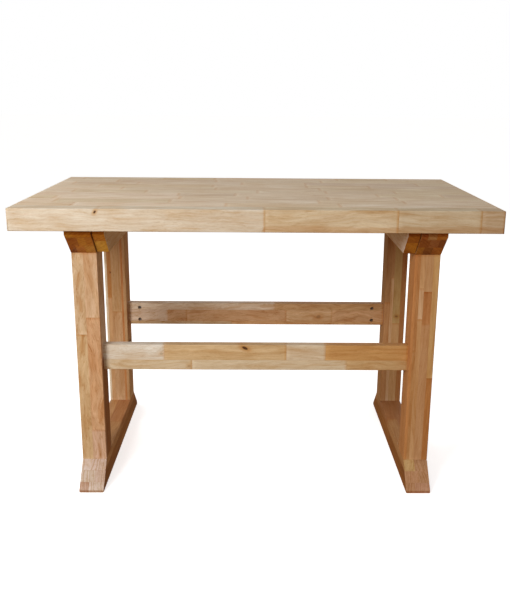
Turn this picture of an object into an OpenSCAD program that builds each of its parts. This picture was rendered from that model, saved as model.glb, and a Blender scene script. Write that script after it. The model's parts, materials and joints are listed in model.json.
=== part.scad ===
// Butcher block table: a laminated top on two trestles, tied together by two
// bolted stretchers. Millimetres, +Z up. The origin is on the floor under the
// centre of the top, +X runs along the top and -Y is the front.

/* [Top] */
// Length of the top
top_length = 1200; // [1000:10:1600]
// Depth of the top, front to back
top_depth = 700; // [660:10:800]
// Thickness of the top
top_thickness = 55; // [50:1:70]
// Height of the top's upper face above the floor
table_height = 770; // [700:5:950]
// Width of the front stave; the others share the remaining depth
front_stave_width = 50; // [40:1:60]

/* [Trestles] */
// Distance between the outer faces of the two trestles
trestle_span = 944; // [860:4:960]
// Distance between the outer faces of a trestle's front and rear posts
post_spread = 504; // [480:4:560]
// Thickness of posts, feet and headers, along the table's length
post_width = 65; // [55:1:75]
// Depth of a post, front to back
post_depth = 75; // [65:1:85]
// Height of a foot
foot_height = 69; // [60:1:80]
// Length of a foot, front to back
foot_length = 628; // [600:4:640]
// Height of the upright tip of a foot
foot_lip = 7.5; // [5:0.5:15]
// Height of a header
header_height = 72; // [70:1:85]
// Length of a header, front to back
header_length = 636; // [600:4:640]
// Height of the upright tip of a header or a cleat
header_lip = 14.5; // [5:0.5:20]

/* [Cleats] */
// Thickness of the cleat beside each header
cleat_thickness = 30; // [25:1:40]
// Clearance between a cleat and its header
cleat_gap = 2; // [1:0.5:4]
// Height of a cleat
cleat_height = 69; // [60:1:69]
// Length of a cleat, front to back
cleat_length = 622; // [600:2:624]

/* [Stretchers] */
// Height of a stretcher
stretcher_height = 70; // [60:1:90]
// Thickness of a stretcher
stretcher_thickness = 27; // [24:1:35]
// Height of a stretcher's lower edge above the floor
stretcher_level = 320; // [150:5:450]
// Distance between the two bolts at each end of a stretcher
bolt_pitch = 39; // [30:1:44]

/* [Finish] */
// Width of the chamfer along exposed edges
arris = 1.5; // [0.5:0.5:3]
// Radius of the top's four upright corners
corner_radius = 4; // [2:1:10]
// Width of the chamfer around the mouths of visible holes
mouth_ease = 0.8; // [0.2:0.2:1.2]

/* [Hidden] */
$fn = 48;
eps = 1;
stave_count = 11;
rear_stave_width = (top_depth - front_stave_width) / (stave_count - 1);
top_underside = table_height - top_thickness;
header_bottom = top_underside - header_height;
cleat_bottom = top_underside - cleat_height;
trestle_outer = trestle_span / 2;
trestle_inner = trestle_outer - post_width;
trestle_mid = trestle_outer - post_width / 2;
cleat_outer = trestle_inner - cleat_gap;
cleat_inner = cleat_outer - cleat_thickness;
cleat_mid = cleat_outer - cleat_thickness / 2;
post_y = (post_spread - post_depth) / 2;
stretcher_mid = stretcher_level + stretcher_height / 2;
bolt_levels = [stretcher_mid - bolt_pitch / 2, stretcher_mid + bolt_pitch / 2];

// Mortise and tenon joints: width, depth and length of a tenon
tenon = [25, 50, 40];
mortise_spare = 2;

// Bolts, washers and screws
m6 = 6;
m6_length = 100;
m8 = 8;
m8_length = 70;
washer_thickness = 1.6;
bolt_clearance = 1;
thread_clearance = 0.1;
counterbore_spare = 4;
post_counterbore = 14;
header_counterbore = 30;
header_bolt_staves = [4, 6, 8];
screw_diameter = 5;
screw_length = 70;
screw_point = 6;
screw_head = [10, 3];
screw_drive = [3, 2];
cleat_counterbore = 25;
cleat_screw_staves = [3, 5, 7, 9];
slotted_staves = [3, 9];
screw_slide = 6;

// Barrel nuts in the stretchers and threaded inserts in the staves
barrel_diameter = 10;
barrel_length = 15;
barrel_set_in = 36.5;
barrel_hole_depth = (stretcher_thickness + barrel_length) / 2;
barrel_slot = [1.4, 1.5];
bolt_end_spare = 5;
insert_diameter = 12;
insert_length = 25;
insert_hole_depth = 30;

STAVE_NAMES = [for (i = [1 : stave_count]) str("top_stave_", i < 10 ? "0" : "", i)];
SIDES = ["left", "right"];
ROWS = ["front", "rear"];
SIDE_PARTS = [
    "foot", "header", "cleat", "header_bolts", "header_washers", "top_inserts",
    "cleat_screws", "stretcher_bolts", "stretcher_washers", "barrel_nuts"
];

// ---------- layout ----------

// Front edge, width and middle of a stave; staves count from 1 at the front
function stave_front(i) =
    -top_depth / 2 + (i == 1 ? 0 : front_stave_width + (i - 2) * rear_stave_width);
function stave_width(i) = i == 1 ? front_stave_width : rear_stave_width;
function stave_middle(i) = stave_front(i) + stave_width(i) / 2;

function has(list, value) = len([for (entry = list) if (entry == value) entry]) > 0;

// Every trestle part is drawn on the right and every stretcher at the rear;
// these put the others in their places.
module on_side(side) {
    mirror([side == "left" ? 1 : 0, 0, 0]) children();
}
module in_row(row) {
    mirror([0, row == "front" ? 1 : 0, 0]) children();
}

// Frames on the seats of the right-hand bolts and screws, with +Z along the bolt
module at_header_bolts(staves = header_bolt_staves) {
    for (i = staves)
        translate([trestle_mid, stave_middle(i), header_bottom + header_counterbore]) children();
}
module at_cleat_screws(staves = cleat_screw_staves) {
    for (i = staves)
        translate([cleat_mid, stave_middle(i), cleat_bottom + cleat_counterbore]) children();
}
module at_stretcher_bolts(rows = [-1, 1]) {
    for (row = rows, level = bolt_levels)
        translate([trestle_outer - post_counterbore, row * post_y, level])
            rotate([0, -90, 0]) children();
}

// Frames on the axes of the right-hand barrel nuts, with +Z out of their holes
module at_barrel_nuts(rows = [-1, 1]) {
    for (row = rows, level = bolt_levels)
        translate([trestle_inner - barrel_set_in, row * post_y, level])
            rotate([90 * row, 0, 0]) children();
}

// ---------- shared shapes ----------

// A rectangle from [x0, y0] to [x1, y1] with chamfered corners
module eased_rectangle(x0, y0, x1, y1) {
    polygon([
        [x0 + arris, y0], [x1 - arris, y0], [x1, y0 + arris], [x1, y1 - arris],
        [x1 - arris, y1], [x0 + arris, y1], [x0, y1 - arris], [x0, y0 + arris]
    ]);
}

// A centred rectangle with rounded corners
module rounded_rectangle(width, depth, radius) {
    square([width - 2 * radius, depth], center = true);
    square([width, depth - 2 * radius], center = true);
    for (x = [-1, 1], y = [-1, 1])
        translate([x * (width / 2 - radius), y * (depth / 2 - radius)]) circle(radius);
}

// Extrudes a [y, z] outline along X, or an [x, z] outline along Y
module along_x(x0, x1) {
    translate([x0, 0, 0]) rotate([90, 0, 90]) linear_extrude(x1 - x0) children();
}
module along_y(y0, y1) {
    translate([0, y1, 0]) rotate([90, 0, 0]) linear_extrude(y1 - y0) children();
}

// A round bore along +Z between two levels
module bore(diameter, from, to) {
    translate([0, 0, from]) cylinder(d = diameter, h = to - from);
}

// A blind hole from a level up to its eased mouth
module mouthed_bore(diameter, from, mouth) {
    bore(diameter, from, mouth + eps);
    translate([0, 0, mouth - mouth_ease])
        cylinder(d1 = diameter, d2 = diameter + 4 * mouth_ease, h = 2 * mouth_ease);
}

// A bore stretched by slide along Y
module slotted_bore(diameter, slide, from, to) {
    for (end = [-1, 1]) translate([0, end * slide / 2, 0]) bore(diameter, from, to);
    if (slide > 0) translate([-diameter / 2, -slide / 2, from]) cube([diameter, slide, to - from]);
}

// A crosswise rail whose ends slope. Its wide face is at wide_z and its narrow
// face at narrow_z; each end has an upright tip of height lip at the wide face.
module rail(x0, x1, length, wide_z, narrow_z, lip) {
    tip_z = wide_z + (narrow_z > wide_z ? lip : -lip);
    intersection() {
        along_x(x0, x1) polygon([
            [-length / 2, wide_z], [length / 2, wide_z], [length / 2, tip_z],
            [post_spread / 2, narrow_z], [-post_spread / 2, narrow_z], [-length / 2, tip_z]
        ]);
        along_y(-length / 2 - eps, length / 2 + eps)
            eased_rectangle(x0, min(wide_z, narrow_z), x1, max(wide_z, narrow_z));
    }
}

// A centred block standing on z = 0
module upright(size) {
    translate([-size.x / 2, -size.y / 2, 0]) cube(size);
}

// The two tenons' places, with +Z along the post
module at_posts() {
    for (row = [-1, 1]) translate([trestle_mid, row * post_y, 0]) children();
}
module mortises(from, to) {
    at_posts() translate([0, 0, from]) upright([tenon.x, tenon.y, to - from]);
}

// A socket-head bolt pointing along +Z, its head's bearing face at z = 0
module socket_bolt(diameter, length) {
    head_height = diameter;
    socket_width = 0.8 * diameter;
    difference() {
        union() {
            cylinder(d = diameter, h = length);
            bore(1.6 * diameter, -head_height, 0);
        }
        translate([0, 0, -head_height - eps])
            cylinder(d = socket_width / cos(30), h = head_height / 2 + eps, $fn = 6);
    }
}

// A washer whose upper face is at z = 0
module washer(bolt_diameter) {
    difference() {
        bore(2 * bolt_diameter, -washer_thickness, 0);
        bore(bolt_diameter + bolt_clearance, -washer_thickness - eps, eps);
    }
}

// Clearance for a bolt and its washer: a counterbore up to z = 0, then a bore
module bolt_hole(diameter, counterbore, length) {
    rotate([180, 0, 0]) mouthed_bore(2 * diameter + counterbore_spare, 0, counterbore);
    bore(diameter + bolt_clearance, -eps, length + eps);
}

// ---------- top ----------

module stave_blank(i) {
    half = top_length / 2;
    intersection() {
        along_y(stave_front(i), stave_front(i) + stave_width(i))
            eased_rectangle(-half, top_underside, half, table_height);
        along_x(-half, half)
            eased_rectangle(-top_depth / 2, top_underside, top_depth / 2, table_height);
        translate([0, 0, top_underside]) linear_extrude(top_thickness)
            rounded_rectangle(top_length, top_depth, corner_radius);
    }
}

// One full-length stave, drilled where inserts and screws enter it
module top_stave(i) {
    color(i % 2 == 0 ? "wheat" : "burlywood") difference() {
        stave_blank(i);
        for (side = SIDES) on_side(side) {
            if (has(header_bolt_staves, i)) at_header_bolts([i])
                bore(insert_diameter, 0, header_height - header_counterbore + insert_hole_depth);
            if (has(cleat_screw_staves, i)) at_cleat_screws([i])
                bore(screw_diameter, 0, screw_length);
        }
    }
}

// ---------- trestles ----------

module foot() {
    color("peru") difference() {
        rail(trestle_inner, trestle_outer, foot_length, 0, foot_height, foot_lip);
        mortises(foot_height - tenon.z - mortise_spare, foot_height + eps);
    }
}

module header() {
    color("sienna") difference() {
        rail(trestle_inner, trestle_outer, header_length, top_underside, header_bottom, header_lip);
        mortises(header_bottom - eps, header_bottom + tenon.z + mortise_spare);
        at_header_bolts() bolt_hole(m8, header_counterbore, header_height - header_counterbore);
    }
}

// The outer screws pass through slots, so that the top can swell and shrink
module cleat() {
    head_room = screw_head[0] + counterbore_spare / 2;
    color("chocolate") difference() {
        rail(cleat_inner, cleat_outer, cleat_length, top_underside, cleat_bottom, header_lip);
        for (i = cleat_screw_staves) at_cleat_screws([i]) {
            slide = has(slotted_staves, i) ? screw_slide : 0;
            slotted_bore(head_room, slide, -cleat_counterbore - eps, 0);
            slotted_bore(screw_diameter + bolt_clearance, slide, -eps, cleat_height);
        }
    }
}

module post(row) {
    color("tan") difference() {
        union() {
            translate([0, 0, foot_height]) linear_extrude(header_bottom - foot_height)
                eased_rectangle(trestle_inner, row * post_y - post_depth / 2,
                    trestle_outer, row * post_y + post_depth / 2);
            translate([trestle_mid, row * post_y, foot_height - tenon.z])
                upright([tenon.x, tenon.y, header_bottom - foot_height + 2 * tenon.z]);
        }
        at_stretcher_bolts([row]) bolt_hole(m6, post_counterbore, post_width);
    }
}

// ---------- stretchers ----------

module stretcher() {
    half = stretcher_thickness / 2;
    color("navajowhite") difference() {
        along_x(-trestle_inner, trestle_inner)
            eased_rectangle(post_y - half, stretcher_level,
                post_y + half, stretcher_level + stretcher_height);
        for (side = SIDES) on_side(side) {
            at_stretcher_bolts([1]) bore(m6 + bolt_clearance, 0, m6_length + bolt_end_spare);
            at_barrel_nuts([1]) mouthed_bore(barrel_diameter, half - barrel_hole_depth, half);
        }
    }
}

// ---------- hardware of the right-hand trestle ----------

module header_bolts() {
    color("silver") at_header_bolts() translate([0, 0, -washer_thickness]) socket_bolt(m8, m8_length);
}

module header_washers() {
    color("gainsboro") at_header_bolts() washer(m8);
}

module top_inserts() {
    color("gold") at_header_bolts() translate([0, 0, header_height - header_counterbore])
        difference() {
            bore(insert_diameter, 0, insert_length);
            bore(m8 + thread_clearance, -eps, insert_length + eps);
        }
}

module cleat_screws() {
    color("silver") at_cleat_screws() difference() {
        union() {
            bore(screw_head[0], -screw_head[1], 0);
            bore(screw_diameter, 0, screw_length - screw_point);
            translate([0, 0, screw_length - screw_point])
                cylinder(d1 = screw_diameter, d2 = 1, h = screw_point);
        }
        translate([0, 0, -screw_head[1] - eps])
            upright([screw_drive[0], screw_drive[0], screw_drive[1] + eps]);
    }
}

module stretcher_bolts() {
    color("silver") at_stretcher_bolts()
        translate([0, 0, -washer_thickness]) socket_bolt(m6, m6_length);
}

module stretcher_washers() {
    color("gainsboro") at_stretcher_bolts() washer(m6);
}

// Each nut lies across its bolt and has a screwdriver slot in its visible end
module barrel_nuts() {
    half = barrel_length / 2;
    color("gold") at_barrel_nuts() difference() {
        bore(barrel_diameter, -half, half);
        rotate([0, 90, 0]) bore(m6 + thread_clearance, -barrel_diameter, barrel_diameter);
        translate([-barrel_diameter, -barrel_slot[0] / 2, half - barrel_slot[1]])
            cube([2 * barrel_diameter, barrel_slot[0], barrel_slot[1] + eps]);
    }
}

// ---------- assembly ----------

module side_part(part) {
    if (part == "foot") foot();
    if (part == "header") header();
    if (part == "cleat") cleat();
    if (part == "header_bolts") header_bolts();
    if (part == "header_washers") header_washers();
    if (part == "top_inserts") top_inserts();
    if (part == "cleat_screws") cleat_screws();
    if (part == "stretcher_bolts") stretcher_bolts();
    if (part == "stretcher_washers") stretcher_washers();
    if (part == "barrel_nuts") barrel_nuts();
}

for (i = [1 : stave_count])
    top_stave(i);
for (side = SIDES, part = SIDE_PARTS)
    on_side(side) side_part(part);
for (side = SIDES, row = ROWS)
    on_side(side) post(row == "front" ? -1 : 1);
for (row = ROWS)
    in_row(row) stretcher();
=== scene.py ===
"""Looks of the butcher block table: glued-up, finger-jointed wood with a satin
finish, its hardware, a pale studio floor, soft light and the camera.

Lengths are in metres in the frame of the CAD parts: +X runs along the table, -Y
is the front and +Z is up. Tones are sRGB hex strings.
"""

import json
import math
import random

import bmesh
import bpy
from mathutils import Matrix, Vector


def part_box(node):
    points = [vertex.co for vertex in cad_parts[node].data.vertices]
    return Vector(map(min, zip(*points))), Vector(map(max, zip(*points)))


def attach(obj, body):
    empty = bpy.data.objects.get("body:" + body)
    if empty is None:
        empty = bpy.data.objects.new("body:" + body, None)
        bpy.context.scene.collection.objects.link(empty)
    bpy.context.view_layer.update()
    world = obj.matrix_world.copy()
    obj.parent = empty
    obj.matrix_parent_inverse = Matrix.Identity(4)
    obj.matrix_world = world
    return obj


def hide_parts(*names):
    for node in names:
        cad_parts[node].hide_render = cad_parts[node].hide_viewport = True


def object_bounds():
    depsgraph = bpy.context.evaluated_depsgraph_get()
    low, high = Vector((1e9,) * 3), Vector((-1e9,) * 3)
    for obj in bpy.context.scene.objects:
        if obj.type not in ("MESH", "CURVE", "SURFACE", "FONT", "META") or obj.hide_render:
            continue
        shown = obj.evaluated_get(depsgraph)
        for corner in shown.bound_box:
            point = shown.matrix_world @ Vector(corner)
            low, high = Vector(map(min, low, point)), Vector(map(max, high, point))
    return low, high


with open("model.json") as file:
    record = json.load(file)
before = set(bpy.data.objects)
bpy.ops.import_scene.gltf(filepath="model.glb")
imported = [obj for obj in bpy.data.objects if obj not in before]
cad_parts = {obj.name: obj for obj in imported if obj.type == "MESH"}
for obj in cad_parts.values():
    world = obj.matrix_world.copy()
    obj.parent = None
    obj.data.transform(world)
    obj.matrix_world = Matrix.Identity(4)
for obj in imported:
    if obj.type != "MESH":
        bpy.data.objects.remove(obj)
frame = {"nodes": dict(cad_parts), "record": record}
cad_low, cad_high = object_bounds()

MM = 0.001
X, Y, Z = 0, 1, 2

# Glue lines and finger joints
GLUE = 0.3 * MM
JOINT_GLUE = 0.5 * MM
FINGER_PITCH = 6.5 * MM
FINGER_REACH = 4.5 * MM
FINGER_TIP = 0.9 * MM

# Slack in places and cuts, and the angles between faces that count as flat or sharp
WELD = 0.01 * MM
CUT_SLACK = 0.001 * MM
COPLANAR = math.radians(0.5)
SHARP = math.radians(50)

# How much of a unit normal lies along an axis on a face that is square to it, on
# an end that isn't bevelled, and on any face that cuts across the grain
SQUARE_ON = 0.99
SQUARE_END = 0.95
CUT_ACROSS = 0.3

# Where a corner is, in knot radii, if its block has no knot
FAR = 99.0

# Ranges that a block's random traits are drawn from
SHADE = (0.97, 1.03)
HUE = (0.99, 1.01)
CURL_SHARE = (0.6, 1.0)
GRAIN_SHIFT = (0, 50)
PITH_AWAY = (0.03, 0.11)
PITH_ASIDE = (-0.03, 0.03)
FIBRE_SLOPE = (-0.08, 0.08)

# Shortest and longest random block, the least share of a part's length that a
# first block takes, and how far the seams of even and odd rows are off an even
# spacing, in shares of a column
STAVE_BLOCKS = (0.15, 0.42)
RAIL_BLOCKS = (0.16, 0.34)
SLIVER = 0.03
SEAM_STAGGER = (-0.18, 0.22)
SEAM_JITTER = 0.08

GLUE_TONE = "A06C3C"
TOP_TONES = ["DCC8AD", "DFCBB2", "D6C0A5", "DAC5A7", "D8C2A2"]
# Both foot tone lists are dark partly as painted shade. The two lower rows, seen only on the feet's
# sides, are darkest, and the top row is lighter.
FOOT_TONES = ["8E541F", "965C24", "864C1A"]
FOOT_TOP_TONES = ["AE7E4F", "B68656", "A67044"]
HEADER_TONES = ["B88450", "A8703F", "C08E54"]
CLEAT_TONES = ["DACCBE", "DED2C6"]


def linear(code):
    """The linear colour of an sRGB hex string."""
    parts = [int(code[i:i + 2], 16) / 255 for i in (0, 2, 4)]
    return [c / 12.92 if c <= 0.04045 else ((c + 0.055) / 1.055) ** 2.4 for c in parts]


# ---------- how each kind of part is glued up ----------
# grain: the axis the fibres follow. column, row: the axes across the grain.
# fingers: faces square to this axis show the zigzag of a finger joint.
KINDS = {
    "stave": dict(grain=X, column=Y, row=Z, fingers=Z, slot="top_wood"),
    "post": dict(grain=Z, column=X, row=Y, fingers=X, slot="post_wood"),
    "stretcher": dict(grain=X, column=Y, row=Z, fingers=Z, slot="stretcher_wood"),
    "rail": dict(grain=Y, column=X, row=Z, fingers=X, slot="rail_wood"),
    "cleat": dict(grain=Y, column=X, row=Z, fingers=X, slot="cleat_wood"),
}

# A lay-up is a list of rows (share along the row axis where the row ends,
# columns); a column is (share along the column axis where it ends, blocks); a
# block is (tone, share along the grain where it ends). Shares count along +X, +Y
# and +Z, so a post's rows run from its front face to its back.
ONE = 1.0
LAYUPS = {
    "top_stave_01": [(ONE, [(ONE, [
        ("D0C3AD", 0.517), ("D0BC9C", 0.785), ("C8B597", 0.953), ("C4AC8E", ONE)])])],
    "left_front_post": [
        (0.12, [
            (0.45, [("CEAE84", 0.62), ("CEB18B", ONE)]),
            (ONE, [("CFAB8E", 0.15), ("CFA47C", 0.70), ("D2B08E", ONE)])]),
        (ONE, [
            (0.45, [("C0996C", 0.35), ("C9A67E", ONE)]),
            # The lower block of this strip shows on the post's inner side, where its dark tone
            # 8A4A14 is painted shade.
            (ONE, [("8A4A14", 0.50), ("D0B8A0", ONE)])])],
    # On this post's front face, the upper blocks of the middle strips are darker than the lower
    # ones as painted shade from the table top.
    "left_rear_post": [
        (0.12, [
            (0.11, [("D6C4A8", ONE)]),
            (0.30, [("C69A6E", 0.60), ("AF7A46", ONE)]),
            (0.76, [("BF9972", 0.52), ("B48F65", ONE)]),
            (0.86, [("B87E4D", ONE)]),
            (ONE, [("BC986E", ONE)])]),
        (ONE, [
            (0.38, [("BC9268", 0.44), ("C6A078", ONE)]),
            (0.74, [("B4885C", 0.71), ("BE9A72", ONE)]),
            (ONE, [("BC946A", 0.33), ("B2835A", ONE)])])],
    # Most strips here have darker upper blocks: partly painted shade from the table top, partly the
    # wood's own tone.
    "right_rear_post": [(ONE, [
        (0.26, [("B4865A", 0.58), ("A67C52", ONE)]),
        (0.40, [("C6A27C", 0.72), ("B68E64", ONE)]),
        (0.75, [("C29C6E", 0.46), ("B89A68", ONE)]),
        (ONE, [("B07C4C", 0.30), ("AA7648", ONE)])])],
    "right_front_post": [(ONE, [
        (0.12, [("BF8450", ONE)]),
        (0.24, [("BE8C5A", 0.55), ("BA8452", ONE)]),
        (0.42, [("C89C6C", 0.70), ("CFA880", 0.845), ("C29668", ONE)]),
        (0.75, [("C4966A", 0.68), ("B07848", 0.83), ("C09468", ONE)]),
        (ONE, [("B87C46", 0.415), ("CCA26C", ONE)])])],
    "front_stretcher": [
        (0.40, [(ONE, [("D6C0A0", 0.29), ("D9C6A6", 0.80), ("CAA676", ONE)])]),
        (ONE, [(ONE, [
            ("DCD1C0", 0.20), ("CEB186", 0.60), ("D6C2A4", 0.729), ("C8985F", ONE)])])],
    # The pale first blocks of the upper two rows are partly the wood's tone and partly painted
    # light, which lifts the shadow that the left trestle casts on this end.
    "rear_stretcher": [
        (0.15, [(ONE, [("C8AC88", 0.405), ("C89E70", ONE)])]),
        (0.68, [(ONE, [
            ("D6C0A8", 0.155), ("CCA680", 0.23), ("C8A07A", 0.62),
            ("CCA880", 0.80), ("C29A72", ONE)])]),
        (ONE, [(ONE, [("D8C6AE", 0.575), ("BE986E", ONE)])])],
}

# Tones of the end grain, strip by strip, in the order of a lay-up's strips
END_TONES = {
    # The headers' bevelled ends face down under the table top, and their dark orange tones are
    # mostly painted shade.
    "left_header": [
        "A05A20", "C27C26", "C68E38",
        "A8641F", "C48428", "BC7820",
        "B67A28", "B47222", "B06E1E"],
    "right_header": [
        "B0782B", "945A20", "B8742B",
        "9A5A20", "A86D3D", "945622",
        "9C5A27", "B68955", "B8762D"],
    "left_cleat": ["DAA844", "C07E28"],
    "right_cleat": ["C2842A", "A6661E"],
    # The feet's bevelled ends face up towards the light, and their pale tones are mostly a painted
    # highlight.
    "left_foot": ["AE8A70", "C0AA98", "C4B09E", "BEA492", "CDBAAE", "C4AC9C"],
    "right_foot": ["B2835C", "B68868", "BC8E68", "B68A64", "C09C68", "B68A64"],
}

# Knots: part -> (share along the grain, share across, radius, stretch along the
# grain, slant in degrees, darkness). Shares are of the part's front face. A block
# has one knot at most.
KNOTS = {
    "top_stave_01": [(0.177, 0.86, 2.5 * MM, 1.6, 50, 1.0)],
    "front_stretcher": [
        (0.464, 0.88, 3.6 * MM, 2.2, -25, 1.0),
        (0.190, 0.64, 2.8 * MM, 1.6, 0, 0.6),
        (0.280, 0.15, 2.6 * MM, 1.6, 0, 0.6)],
    "rear_stretcher": [(0.746, 0.38, 5.0 * MM, 1.4, 20, 0.65)],
    "left_front_post": [(0.50, 0.64, 7.0 * MM, 2.6, -22, 0.40)],
    "left_rear_post": [(0.74, 0.28, 2.2 * MM, 0.8, 0, 0.9)],
    "right_rear_post": [(0.50, 0.60, 5.0 * MM, 0.6, 0, 0.7)],
}

# How strongly each part's grain curls, from 0 to 1
PLAIN_CURL = 0.3
CURL = {
    "top_stave_01": 0.4,
    "left_front_post": 1.0,
    "left_rear_post": 0.6,
    "front_stretcher": 0.5,
    "rear_stretcher": 1.0,
}


# ---------- strips and blocks ----------

class Block:
    """One length of solid wood: its ends along the grain, its tone and its place in a tree."""

    def __init__(self, rng, tone, start, end, curl):
        self.start, self.end = start, end
        shade = rng.uniform(*SHADE)
        self.tone = [c * shade * rng.uniform(*HUE) for c in linear(tone)]
        self.curl = curl * rng.uniform(*CURL_SHARE)
        self.shift = rng.uniform(*GRAIN_SHIFT)
        self.turn = rng.uniform(0, 2 * math.pi)
        self.pith = Vector((rng.uniform(*PITH_AWAY), rng.uniform(*PITH_ASIDE)))
        self.slope = Vector((rng.uniform(*FIBRE_SLOPE), rng.uniform(*FIBRE_SLOPE)))
        self.knot = None

    def grain(self, along, across, up, start):
        """Coordinates in the tree: along the fibres, then two across them."""
        cos, sin = math.cos(self.turn), math.sin(self.turn)
        run = along - start
        v = across * cos - up * sin + self.pith.x + self.slope.x * run
        w = across * sin + up * cos + self.pith.y + self.slope.y * run
        return Vector((along + self.shift, v, w))


class Strip:
    """Blocks end to end: their limits across the grain by axis, and the tone of the end grain."""

    def __init__(self, low, high, blocks, end_tone):
        self.low, self.high, self.blocks = low, high, blocks
        self.end_tone = end_tone

    def holds(self, point, slack=WELD):
        """True if a point lies in the strip's section."""
        return all(self.low[a] - slack < point[a] < self.high[a] + slack for a in self.low)

    def block_at(self, along):
        """The block at a place along the grain."""
        for block in self.blocks:
            if along < block.end:
                return block
        return self.blocks[-1]


def strips_of(name, kind, layup, start, end):
    """The strips of a part whose blocks run from start to end along the grain."""
    low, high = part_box(name)
    rng = random.Random(name)
    row_axis, column_axis = kind["row"], kind["column"]

    def place(axis, share):
        """Where a share of the part along an axis ends."""
        return low[axis] + (high[axis] - low[axis]) * share

    strips = []
    row_low = low[row_axis]
    for row_share, columns in layup:
        row_high = place(row_axis, row_share)
        column_low = low[column_axis]
        for column_share, blocks in columns:
            column_high = place(column_axis, column_share)
            made, block_start = [], start
            for tone, share in blocks:
                block_end = start + (end - start) * share
                made.append(Block(rng, tone, block_start, block_end, CURL.get(name, PLAIN_CURL)))
                block_start = block_end
            end_tone = linear(END_TONES[name][len(strips)]) if name in END_TONES else None
            strips.append(Strip(
                {row_axis: row_low, column_axis: column_low},
                {row_axis: row_high, column_axis: column_high}, made, end_tone))
            column_low = column_high
        row_low = row_high
    return strips


def random_blocks(rng, length, tones, shortest, longest):
    """Blocks of random length and tone that fill a length, no tone twice in a row."""
    blocks, at, last = [], rng.uniform(0, shortest), None
    while at < length - shortest / 2:
        tone = rng.choice([t for t in tones if t != last])
        blocks.append((tone, at / length))
        last = tone
        at += rng.uniform(shortest, longest)
    blocks.append((rng.choice([t for t in tones if t != last]), ONE))
    return [b for b in blocks if b[1] > SLIVER]


def brick_layup(rng, length, row_tones, columns):
    """Rows of strips whose seams are staggered like bricks. row_tones: tones of each row."""
    layup = []
    for row, tones in enumerate(row_tones):
        seams = [
            (i + 1 + SEAM_STAGGER[row % 2] + rng.uniform(-SEAM_JITTER, SEAM_JITTER)) / columns
            for i in range(columns - 1)
        ]
        layup.append(((row + 1) / len(row_tones), [
            (seam, random_blocks(rng, length, tones, *RAIL_BLOCKS)) for seam in [*seams, ONE]]))
    return layup


# ---------- cutting a part into its blocks ----------

def cad_copy(name):
    """A CAD node's mesh with its flat faces whole, not in triangles."""
    bm = bmesh.new()
    bm.from_mesh(frame["nodes"][name].data)
    bmesh.ops.remove_doubles(bm, verts=bm.verts, dist=WELD)
    bmesh.ops.dissolve_limit(
        bm, angle_limit=COPLANAR, verts=bm.verts, edges=bm.edges)
    return bm


def slice_faces(bm, faces, axis, at):
    """Cuts the given faces where they cross a plane."""
    edges = {e for f in faces for e in f.edges}
    verts = {v for f in faces for v in f.verts}
    point, normal = Vector(), Vector()
    point[axis], normal[axis] = at, 1
    bmesh.ops.bisect_plane(
        bm, geom=[*faces, *edges, *verts], dist=CUT_SLACK, plane_co=point, plane_no=normal)


def cut_seams(bm, strips, axis, part_low, part_high):
    """Cuts both sides of every glue line between strips."""
    for strip in strips:
        for at in (strip.low[axis], strip.high[axis]):
            if part_low[axis] + GLUE < at < part_high[axis] - GLUE:
                for side in (-GLUE / 2, GLUE / 2):
                    slice_faces(bm, [f for f in bm.faces if near_strip(f, strip)], axis, at + side)


def near_strip(face, strip):
    """True if the face's middle is level with the strip, or the face spans it."""
    middle = face.calc_center_median()
    for axis, low in strip.low.items():
        values = [v.co[axis] for v in face.verts]
        if max(values) < low - GLUE or min(values) > strip.high[axis] + GLUE:
            return False
        spans = min(values) < low - GLUE and max(values) > strip.high[axis] + GLUE
        if not spans and not low - GLUE < middle[axis] < strip.high[axis] + GLUE:
            return False
    return True


def finger_points(low, high):
    """(place, side) of each corner of a finger joint's zigzag across a strip."""
    count = max(2, round((high - low) / FINGER_PITCH))
    pitch = (high - low) / count
    points = []
    for i in range(2 * count - 1):
        middle = low + (i + 1) * pitch / 2
        side = 1 if i % 2 else -1
        points += [(middle - FINGER_TIP / 2, side), (middle + FINGER_TIP / 2, side)]
    return points


def cut_fingers(bm, kind, strip, at):
    """Bends a strip's cut at a finger joint into a zigzag on the faces that show it."""
    grain, shown = kind["grain"], kind["fingers"]
    across = X + Y + Z - grain - shown
    points = finger_points(strip.low[across], strip.high[across])
    for edge in list(bm.edges):
        a, b = edge.verts
        flat = all(abs(f.normal[shown]) > SQUARE_ON for f in edge.link_faces)
        level = abs(a.co[grain] - at) < WELD and abs(b.co[grain] - at) < WELD
        inside = strip.holds((a.co + b.co) / 2)
        if not (flat and level and inside):
            continue
        if a.co[across] > b.co[across]:
            a, b = b, a
        end = b
        for place, side in points:
            if a.co[across] + WELD < place < end.co[across] - WELD:
                share = (place - a.co[across]) / (end.co[across] - a.co[across])
                edge, vert = bmesh.utils.edge_split(edge, a, share)
                vert.co[grain] = at + side * FINGER_REACH
                edge = next(e for e in vert.link_edges if end in e.verts)
                a = vert


def classify(face, strips, kind, part_low, part_high):
    """(strip, block, glue?) of a face."""
    middle = face.calc_center_median()
    strip = next((s for s in strips if s.holds(middle)), None)
    if strip is None:
        strip = next(s for s in strips if s.holds(middle, GLUE))
    at = middle[kind["grain"]]
    glued = any(abs(at - b.end) < JOINT_GLUE / 2 for b in strip.blocks[:-1])
    for axis in strip.low:
        for limit in (strip.low[axis], strip.high[axis]):
            inner = part_low[axis] + GLUE < limit < part_high[axis] - GLUE
            glued = glued or (inner and abs(middle[axis] - limit) < GLUE / 2)
    return strip, strip.block_at(at), glued


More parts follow.
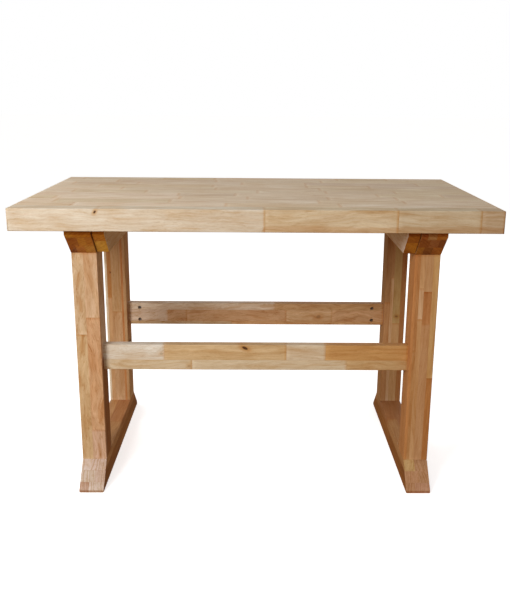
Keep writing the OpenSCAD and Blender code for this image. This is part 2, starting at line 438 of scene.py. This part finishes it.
def knot_place(knot, along, up):
    """A point relative to a knot, in knot radii, and the knot's darkness.
    Without a knot it is far from one."""
    if knot is None:
        return (FAR, FAR, 0)
    middle_along, middle_up, radius, stretch, slant, dark = knot
    cos, sin = math.cos(math.radians(slant)), math.sin(math.radians(slant))
    d_along, d_up = along - middle_along, up - middle_up
    return (
        (d_along * cos + d_up * sin) / (radius * stretch),
        (d_up * cos - d_along * sin) / radius,
        dark,
    )


def give_knots(name, kind, strips, start, end):
    """Puts each of a part's knots in the block that shows it on the front face."""
    low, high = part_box(name)
    up = front_axis(kind)
    for along, across, radius, stretch, slant, dark in KNOTS.get(name, []):
        place_along = start + (end - start) * along
        place_up = low[up] + (high[up] - low[up]) * across
        point = (low + high) / 2
        point.y = low.y
        point[up] = place_up
        strip = next(s for s in strips if s.holds(point))
        strip.block_at(place_along).knot = (place_along, place_up, radius, stretch, slant, dark)


def front_axis(kind):
    """The axis across the grain in the plane of a part's front face."""
    return X if kind["grain"] == Z else Z


# ---------- a wooden piece ----------

def cut_part(bm, kind, strips, low, high):
    """Cuts a part along its glue lines and finger joints. Returns (strip, block, glue?)
    and the normal of each face, found before the joints bend into zigzags."""
    cut_seams(bm, strips, kind["row"], low, high)
    cut_seams(bm, strips, kind["column"], low, high)
    joint_cuts = [
        (strip, block.end + side)
        for strip in strips
        for block in strip.blocks[:-1]
        for side in (-JOINT_GLUE / 2, JOINT_GLUE / 2)
    ]
    for strip, at in joint_cuts:
        inside = [f for f in bm.faces if strip.holds(f.calc_center_median())]
        slice_faces(bm, inside, kind["grain"], at)
    bm.faces.ensure_lookup_table()
    found = [classify(f, strips, kind, low, high) for f in bm.faces]
    normals = [f.normal.copy() for f in bm.faces]
    for strip, at in joint_cuts:
        cut_fingers(bm, kind, strip, at)
    return found, normals


def paint_faces(bm, kind, found, normals, start, heart):
    """Writes what the wood material reads at every corner of every face.
    grain: coordinates in the tree. tone: the colour of the block or its end grain.
    knot: the place relative to the block's knot, and its darkness.
    traits: the curl, the depth in heartwood, and how squarely the face cuts the
    fibres, which is 0 on a bevelled end.
    span: the distances from the block's two ends, and 1 on faces across the grain."""
    grain, row_axis, column_axis = kind["grain"], kind["row"], kind["column"]
    coords = bm.loops.layers.float_vector.new("grain")
    tones = bm.loops.layers.float_color.new("tone")
    knots = bm.loops.layers.float_vector.new("knot")
    traits = bm.loops.layers.float_vector.new("traits")
    spans = bm.loops.layers.float_vector.new("span")
    glue = linear(GLUE_TONE)
    bm.faces.ensure_lookup_table()
    for face, (strip, block, glued), normal in zip(bm.faces, found, normals):
        face.smooth = True
        cut_across = abs(normal[grain]) > CUT_ACROSS
        on_end = strip.end_tone and cut_across
        bevelled = on_end and abs(normal[grain]) < SQUARE_END
        tone = strip.end_tone if on_end else block.tone
        if glued:
            tone = [(a + b) / 2 for a, b in zip(glue, tone)]
        for loop in face.loops:
            at = loop.vert.co
            depth = (heart[0] - at.z) if heart and at[grain] > heart[1] else -1
            loop[coords] = block.grain(at[grain], at[column_axis], at[row_axis], start)
            loop[tones] = (*tone, 1)
            loop[knots] = knot_place(block.knot, at[grain], at[front_axis(kind)])
            loop[traits] = (block.curl, depth, 0 if bevelled else abs(normal[grain]))
            loop[spans] = (at[grain] - block.start, block.end - at[grain], cut_across)
    for edge in bm.edges:
        edge.smooth = edge.calc_face_angle(math.pi) < SHARP


def wooden_piece(name, kind_name, layup, shaft=None, heart=None):
    """Replaces a CAD node by the same solid, cut into its strips and blocks.
    shaft is (start, end): the blocks' shares count along it, not along the part.
    heart is (height, first place): below that height and past that place along
    the grain the wood is darker heartwood."""
    kind = KINDS[kind_name]
    low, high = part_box(name)
    start, end = shaft or (low[kind["grain"]], high[kind["grain"]])
    strips = strips_of(name, kind, layup, start, end)
    give_knots(name, kind, strips, start, end)

    bm = cad_copy(name)
    found, normals = cut_part(bm, kind, strips, low, high)
    paint_faces(bm, kind, found, normals, start, heart)
    mesh = bpy.data.meshes.new(name)
    bm.to_mesh(mesh)
    bm.free()
    mesh.materials.append(material_for(kind["slot"]))

    piece = bpy.data.objects.new("wood_" + name, mesh)
    bpy.context.scene.collection.objects.link(piece)
    weighted = piece.modifiers.new("weighted_normals", "WEIGHTED_NORMAL")
    weighted.keep_sharp = True
    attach(piece, "root")
    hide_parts(name)


# ---------- materials ----------

# Noise cells per metre: along the fibres, then twice across them
CELLS = {
    "wander": (4, 18, 18),
    "swirl": (6, 13, 13),
    "clouds": (8, 34, 34),
    "streaks": (6, 170, 170),
    "flames": (8, 62, 62),
    "flecks": (42, 360, 360),
    "fibre": (14, 640, 640),
    "pores": (75, 1150, 1150),
}
RINGS_PER_METRE = 150
ARCS_PER_METRE = 320

# How far the fibres leave their course, in metres, and how fast the bulge round a
# knot fades per knot radius
WANDER = 0.012
SWIRL = 0.085
BULGE = 0.012
BULGE_FADE = -0.45

# Where the pale and the deep half of a noise start and show in full, and their
# tints in each layer that mottles all wood
PALE_HALF = (0.50, 0.25)
DEEP_HALF = (0.50, 0.75)
MOTTLE = {
    "rings": ((1.03, 1.04, 1.06), (0.97, 0.93, 0.88)),
    "clouds": ((1.11, 1.16, 1.22), (0.91, 0.82, 0.70)),
    "streaks": ((1.07, 1.09, 1.12), (0.91, 0.83, 0.73)),
    "fibre": ((1.05, 1.06, 1.08), (0.91, 0.86, 0.78)),
}

# Other layers: (where a value starts to show, where it shows in full, tint)
PALE_FLAMES = (0.52, 0.64, (1.12, 1.16, 1.21))
DEEP_FLAMES = (0.47, 0.35, (0.84, 0.70, 0.54))
FLECKS = (0.54, 0.68, (0.80, 0.67, 0.52))
HEARTWOOD = (0.006, 0.011, (0.91, 0.80, 0.70))
PAST_JOINT = (0.014, 0.002, (1.07, 1.10, 1.14))
ARCS = (0.50, 0.66, (0.84, 0.74, 0.62))
KNOT_HALO = (3.6, 0.8, (0.86, 0.66, 0.44))

# The same for layers whose tint or strength is worked out elsewhere
BEFORE_JOINT = (0.008, 0.001)
JOINT_TINT = (0.93, 0.81, 0.68)
TOP_JOINT_TINT = (0.88, 0.70, 0.50)
PORE = (0.30, 0.12)
PORE_STRENGTH = 0.5
PORE_TINT = (0.66, 0.54, 0.42)
END_TINT = (0.80, 0.68, 0.56)
HEART_EDGE = 0.016
KNOT_CORE = (1.25, 0.75)
CORE_DARKNESS = (0.4, 1.0)
CORE_COLOUR = (0.095, 0.040, 0.016, 1)

# Roughness and relief: a relief is (distance, strength)
MID_NOISE = (0.3, 0.7)
SATIN = 0.42
SATIN_SPREAD = 0.05
PORE_ROUGHNESS = 0.2
WOOD_RELIEF = (0.12 * MM, 0.6)
FIBRE_HEIGHT = 0.35

METAL_CLOUDS = (240, 240, 240)
METAL_MARKS = (2600, 2600, 2600)
METAL_DULLED = (0.35, 0.7)
METAL_SPREAD = 0.15
METAL_RELIEF = (0.03 * MM, 0.5)

# Sockets of a Mix node that mixes colours
MIX_FACTOR, MIX_A, MIX_B, MIX_RESULT = 0, 6, 7, 2


class Graph:
    """A material's nodes. Sockets and plain values can both feed an input."""

    def __init__(self, name):
        self.material = bpy.data.materials.new(name)
        self.material.use_nodes = True
        self.tree = self.material.node_tree
        self.shader = self.tree.nodes["Principled BSDF"]

    def feed(self, socket, value):
        """Links a socket to an input, or sets a plain value on it."""
        if isinstance(value, bpy.types.NodeSocket):
            self.tree.links.new(value, socket)
        else:
            socket.default_value = value

    def shade(self, inputs):
        """Feeds the shader's inputs."""
        for key, value in inputs.items():
            self.feed(self.shader.inputs[key], value)

    def node(self, kind, inputs=(), **settings):
        """A new node with its settings made and its inputs fed."""
        node = self.tree.nodes.new(kind)
        for key, value in settings.items():
            setattr(node, key, value)
        for key, value in dict(inputs).items():
            self.feed(node.inputs[key], value)
        return node

    def attribute(self, name, output="Vector"):
        """What paint_faces wrote under a name."""
        return self.node("ShaderNodeAttribute", attribute_name=name).outputs[output]

    def math(self, operation, *values):
        return self.node(
            "ShaderNodeMath", enumerate(values), operation=operation).outputs[0]

    def vector(self, operation, *values, output="Vector"):
        return self.node(
            "ShaderNodeVectorMath", enumerate(values), operation=operation).outputs[output]

    def length(self, vector, axes):
        """The length of the part of a vector that lies along the given axes."""
        return self.vector("LENGTH", self.vector("MULTIPLY", vector, axes), output="Value")

    def split(self, vector):
        return self.node("ShaderNodeSeparateXYZ", {"Vector": vector}).outputs

    def noise(self, vector, cells, detail=2.0, output="Fac"):
        """3D noise with this many cells per metre along each axis."""
        place = self.vector("MULTIPLY", vector, cells)
        return self.node("ShaderNodeTexNoise", {
            "Vector": place, "Scale": 1.0, "Detail": detail}).outputs[output]

    def drift(self, vector, cells):
        """A random vector round zero that changes from place to place."""
        return self.vector(
            "SUBTRACT", self.noise(vector, cells, output="Color"), (0.5, 0.5, 0.5))

    def bands(self, distance, per_metre):
        """1D noise along a distance."""
        place = self.math("MULTIPLY", distance, per_metre)
        return self.node("ShaderNodeTexNoise", {
            "W": place, "Scale": 1.0, "Detail": 0.5}, noise_dimensions="1D").outputs["Fac"]

    def ramp(self, value, low, high, to_low=0.0, to_high=1.0):
        """Maps low..high smoothly to to_low..to_high."""
        return self.node("ShaderNodeMapRange", {
            "Value": value, "From Min": low, "From Max": high,
            "To Min": to_low, "To Max": to_high}, interpolation_type="SMOOTHSTEP").outputs["Result"]

    def mix(self, factor, a, b, blend="MIX"):
        node = self.node("ShaderNodeMix", data_type="RGBA", blend_type=blend)
        self.feed(node.inputs[MIX_FACTOR], factor)
        self.feed(node.inputs[MIX_A], a)
        self.feed(node.inputs[MIX_B], b)
        return node.outputs[MIX_RESULT]

    def stain(self, colour, factor, tint):
        """Multiplies a colour by a tint, by factor."""
        return self.mix(factor, colour, (*tint, 1), "MULTIPLY")

    def layer(self, colour, value, shows, share=None):
        """Stains a colour where a value shows, by a share if one is given.
        shows is (where it starts, where it shows in full, tint)."""
        low, high, tint = shows
        factor = self.ramp(value, low, high)
        if share is not None:
            factor = self.math("MULTIPLY", factor, share)
        return self.stain(colour, factor, tint)

    def bump(self, height, distance, strength):
        """Feeds the shader's normal with a relief."""
        node = self.node("ShaderNodeBump", {
            "Height": height, "Distance": distance, "Strength": strength})
        self.feed(self.shader.inputs["Normal"], node.outputs["Normal"])


def wood(name, joint_tint=JOINT_TINT):
    """Satin-finished rubberwood that reads what paint_faces wrote."""
    g = Graph(name)
    grain = g.attribute("grain")
    knot_at = g.attribute("knot")
    curl, heart, end = g.split(g.attribute("traits"))
    since, until, cut_across = g.split(g.attribute("span"))
    dark = g.split(knot_at)[2]
    reach = g.length(knot_at, (1, 1, 0))

    # The fibres wander, swirl where the figure is strong, and bulge round a knot
    wander = g.drift(grain, CELLS["wander"])
    swirl = g.drift(grain, CELLS["swirl"])
    curled = g.node("ShaderNodeVectorMath", {0: swirl, "Scale": curl}, operation="SCALE").outputs[0]
    warped = g.vector("MULTIPLY_ADD", wander, (0, WANDER, WANDER), grain)
    warped = g.vector("MULTIPLY_ADD", curled, (0, SWIRL, SWIRL), warped)
    fade = g.math("EXPONENT", g.math("MULTIPLY", reach, BULGE_FADE))
    bulge = g.math("MULTIPLY", fade, BULGE)
    ring_place = g.math("ADD", g.length(warped, (0, 1, 1)), bulge)

    mottle = {
        "rings": g.bands(ring_place, RINGS_PER_METRE),
        "clouds": g.noise(warped, CELLS["clouds"], detail=3.0),
        "streaks": g.noise(warped, CELLS["streaks"]),
        "fibre": g.noise(warped, CELLS["fibre"], detail=3.0),
    }
    flames = g.noise(warped, CELLS["flames"], detail=3.0)
    flecks = g.noise(warped, CELLS["flecks"])
    arcs = g.bands(ring_place, ARCS_PER_METRE)
    cell = g.node("ShaderNodeTexVoronoi", {
        "Vector": g.vector("MULTIPLY", warped, CELLS["pores"]), "Scale": 1.0})
    pores = g.ramp(cell.outputs["Distance"], *PORE)

    colour = g.attribute("tone", "Color")
    for key, (pale, deep) in MOTTLE.items():
        colour = g.layer(colour, mottle[key], (*PALE_HALF, pale))
        colour = g.layer(colour, mottle[key], (*DEEP_HALF, deep))
    colour = g.layer(colour, flames, PALE_FLAMES, curl)
    colour = g.layer(colour, flames, DEEP_FLAMES, curl)
    colour = g.layer(colour, flecks, FLECKS, curl)
    colour = g.stain(colour, g.math("MULTIPLY", pores, PORE_STRENGTH), PORE_TINT)
    ragged = g.math("ADD", heart, g.math("MULTIPLY", mottle["clouds"], HEART_EDGE))
    colour = g.layer(colour, ragged, HEARTWOOD)

    # A finger joint shows as a dark line with a paler band beyond it
    colour = g.layer(colour, since, PAST_JOINT)
    colour = g.layer(colour, until, (*BEFORE_JOINT, joint_tint))
    colour = g.stain(colour, end, END_TINT)
    colour = g.layer(colour, arcs, ARCS, cut_across)
    colour = g.layer(colour, reach, KNOT_HALO, dark)
    core = g.math("MULTIPLY", g.ramp(reach, *KNOT_CORE), g.ramp(dark, *CORE_DARKNESS))
    colour = g.mix(core, colour, CORE_COLOUR)

    uneven = g.ramp(
        mottle["streaks"], *MID_NOISE, SATIN - SATIN_SPREAD, SATIN + SATIN_SPREAD)
    g.shade({
        "Base Color": colour,
        "Roughness": g.math("MULTIPLY_ADD", pores, PORE_ROUGHNESS, uneven),
        "Specular IOR Level": 0.25,
        "Coat Weight": 0.04,
        "Coat Roughness": 0.3,
    })
    raised = g.math("MULTIPLY", mottle["fibre"], FIBRE_HEIGHT)
    g.bump(g.math("MULTIPLY_ADD", pores, -1.0, raised), *WOOD_RELIEF)
    return g.material


def metal(name, light, dull, roughness):
    """Plated or turned metal with fine marks and uneven gloss."""
    g = Graph(name)
    place = g.node("ShaderNodeTexCoord").outputs["Object"]
    cloud = g.noise(place, METAL_CLOUDS, detail=3.0)
    marks = g.noise(place, METAL_MARKS)
    dulled = g.ramp(cloud, *METAL_DULLED)
    g.shade({
        "Base Color": g.mix(dulled, (*linear(light), 1), (*linear(dull), 1)),
        "Metallic": 1.0,
        "Roughness": g.ramp(cloud, *MID_NOISE, roughness, roughness + METAL_SPREAD),
    })
    g.bump(marks, *METAL_RELIEF)
    return g.material


# Slot of the record -> what metal() or wood() is called with
METALS = {
    "zinc_steel": ("bright_zinc", "C9CCD0", "A2A5A8", 0.25),
    "nut_steel": ("dull_zinc", "8C8A86", "5E5B56", 0.40),
    "insert_brass": ("turned_brass", "D9B36A", "B28B45", 0.28),
}
WOODS = {
    "top_wood": ("satin_top", TOP_JOINT_TINT),
    "post_wood": ("satin_post",),
    "rail_wood": ("satin_rail",),
    "cleat_wood": ("satin_cleat",),
    "stretcher_wood": ("satin_stretcher",),
}
made_materials = {}


def material_for(slot):
    """The material of a slot of the record, made once."""
    if slot not in made_materials:
        made_materials[slot] = metal(*METALS[slot]) if slot in METALS else wood(*WOODS[slot])
    return made_materials[slot]


# ---------- the table ----------

# The front stave's heartwood: its share of the height, and where it begins
HEART_HEIGHT = 0.30
HEART_START = 0.35

# Rails of a trestle: kind, the tones of each row of strips, strips per row
RAILS = {
    "foot": ("rail", [FOOT_TONES, FOOT_TONES, FOOT_TOP_TONES], 2),
    "header": ("rail", [HEADER_TONES] * 3, 3),
    "cleat": ("cleat", [CLEAT_TONES] * 2, 1),
}


def build_top():
    """The front stave follows the photo, and the others have random blocks."""
    first, *others = sorted(n for n in frame["nodes"] if n.startswith("top_stave_"))
    low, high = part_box(first)
    size = high - low
    heart = (low.z + HEART_HEIGHT * size.z, low.x + HEART_START * size.x)
    wooden_piece(first, "stave", LAYUPS[first], heart=heart)
    for name in others:
        rng = random.Random("blocks " + name)
        blocks = random_blocks(rng, size.x, TOP_TONES, *STAVE_BLOCKS)
        wooden_piece(name, "stave", [(ONE, [(ONE, blocks)])])


def build_trestles():
    """Two posts, a foot, a header and a cleat at each end."""
    for side in ("left", "right"):
        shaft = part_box(side + "_foot")[1].z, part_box(side + "_header")[0].z
        for row in ("front", "rear"):
            name = f"{side}_{row}_post"
            wooden_piece(name, "post", LAYUPS[name], shaft)
        for part, (kind_name, row_tones, columns) in RAILS.items():
            name = f"{side}_{part}"
            low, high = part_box(name)
            rng = random.Random("blocks " + name)
            wooden_piece(name, kind_name, brick_layup(rng, high.y - low.y, row_tones, columns))


def build_stretchers():
    """One between the front posts and one between the rear posts."""
    for name in ("front_stretcher", "rear_stretcher"):
        wooden_piece(name, "stretcher", LAYUPS[name])


def finish_hardware():
    """The CAD fasteners stay as they are and get their metals."""
    slots = {s["node"]: s["material_slot"] for s in frame["record"]["subparts"]}
    for name, piece in frame["nodes"].items():
        if slots[name] in METALS:
            piece.data.materials.clear()
            piece.data.materials.append(material_for(slots[name]))


# ---------- studio ----------

FLOOR_REACH = 30.0
FLOOR_LOOK = {
    "Base Color": (0.96, 0.96, 0.96, 1),
    "Roughness": 0.9,
    "Specular IOR Level": 0.1,
    "Emission Color": (1, 1, 1, 1),
    "Emission Strength": 0.64,
}

# What surrounds the table below and above the horizon, how high up a direction
# the one turns into the other, and what the camera sees instead
LOWER_ROOM = (0.27, 0.155, 0.07, 1)
UPPER_ROOM = (0.39, 0.39, 0.39, 1)
HORIZON = (-0.08, 0.45)
BACKDROP = (1.0, 1.0, 1.0, 1)

# Lights: name, place, aim, size, power, whether gloss shows it
LIGHTS = [
    ("key", (-1.4, -2.3, 1.6), (0, 0, 0.5), 1.2, 56, True),
    ("overhead", (-1.4, -0.2, 1.9), (-0.5, 0, 0.75), 1.0, 7, True),
    ("rear_fill", (0.3, 3.0, 1.4), (0, 0, 0.5), 1.6, 18, False),
    ("side_fill", (2.8, 1.0, 1.2), (0, 0, 0.5), 1.6, 7, False),
]

# The camera: lens and sensor in mm, shifts, degrees, and metres from the table's
# middle, its front and its top
LENS = 46.91
SENSOR = 36
SHIFT = (-0.0158, 0.0047)
YAW, PITCH, ROLL = 0.72, 15.47, 0.48
CAMERA_ASIDE, CAMERA_BACK, CAMERA_UP = -0.003, 1.9016, 0.2807


def build_floor():
    """A plain, glowing floor. None of its light reaches the table."""
    mesh = bpy.data.meshes.new("floor")
    corners = [
        (x * FLOOR_REACH, y * FLOOR_REACH, cad_low.z)
        for x, y in ((-1, -1), (1, -1), (1, 1), (-1, 1))
    ]
    mesh.from_pydata(corners, [], [(0, 1, 2, 3)])
    floor = bpy.data.objects.new("floor", mesh)
    bpy.context.scene.collection.objects.link(floor)
    g = Graph("pale_floor")
    g.shade(FLOOR_LOOK)
    mesh.materials.append(g.material)
    floor.visible_diffuse = False
    floor.visible_glossy = False


def build_world():
    """Dim surroundings, brown from below. The camera itself sees plain white."""
    world = bpy.data.worlds.new("studio")
    bpy.context.scene.world = world
    world.use_nodes = True
    tree = world.node_tree
    place = tree.nodes.new("ShaderNodeTexCoord")
    split = tree.nodes.new("ShaderNodeSeparateXYZ")
    height = tree.nodes.new("ShaderNodeMapRange")
    rays = tree.nodes.new("ShaderNodeLightPath")
    room = tree.nodes.new("ShaderNodeMix")
    seen = tree.nodes.new("ShaderNodeMix")
    room.data_type = "RGBA"
    seen.data_type = "RGBA"
    room.inputs[MIX_A].default_value = LOWER_ROOM
    room.inputs[MIX_B].default_value = UPPER_ROOM
    seen.inputs[MIX_B].default_value = BACKDROP
    height.inputs["From Min"].default_value = HORIZON[0]
    height.inputs["From Max"].default_value = HORIZON[1]
    tree.links.new(place.outputs["Generated"], split.inputs[0])
    tree.links.new(split.outputs["Z"], height.inputs["Value"])
    tree.links.new(height.outputs["Result"], room.inputs[MIX_FACTOR])
    tree.links.new(rays.outputs["Is Camera Ray"], seen.inputs[MIX_FACTOR])
    tree.links.new(room.outputs[MIX_RESULT], seen.inputs[MIX_A])
    tree.links.new(seen.outputs[MIX_RESULT], tree.nodes["Background"].inputs["Color"])


def build_lights():
    """Soft round lights that face their aim."""
    for name, place, aim, size, power, in_gloss in LIGHTS:
        data = bpy.data.lights.new(name, "AREA")
        data.shape = "DISK"
        data.size = size
        data.energy = power
        light = bpy.data.objects.new(name, data)
        light.location = place
        light.rotation_mode = "QUATERNION"
        light.rotation_quaternion = (Vector(aim) - Vector(place)).to_track_quat("-Z", "Y")
        light.visible_glossy = in_gloss
        bpy.context.scene.collection.objects.link(light)


def build_camera():
    """The photograph's view: 15 degrees down, cropped a little off centre."""
    data = bpy.data.cameras.new("camera")
    data.sensor_width = SENSOR
    data.lens = LENS
    data.shift_x, data.shift_y = SHIFT
    camera = bpy.data.objects.new("camera", data)
    bpy.context.scene.collection.objects.link(camera)
    yaw, pitch, roll = (math.radians(a) for a in (YAW, PITCH, ROLL))
    place = Vector((CAMERA_ASIDE, cad_low.y - CAMERA_BACK, cad_high.z + CAMERA_UP))
    camera.matrix_world = (
        Matrix.Translation(place)
        @ Matrix.Rotation(-yaw, 4, "Z")
        @ Matrix.Rotation(math.pi / 2 - pitch, 4, "X")
        @ Matrix.Rotation(roll, 4, "Z"))
    bpy.context.scene.camera = camera


build_top()
build_trestles()
build_stretchers()
finish_hardware()
build_floor()
build_world()
build_lights()
build_camera()
bpy.context.scene.view_settings.view_transform = "Standard"
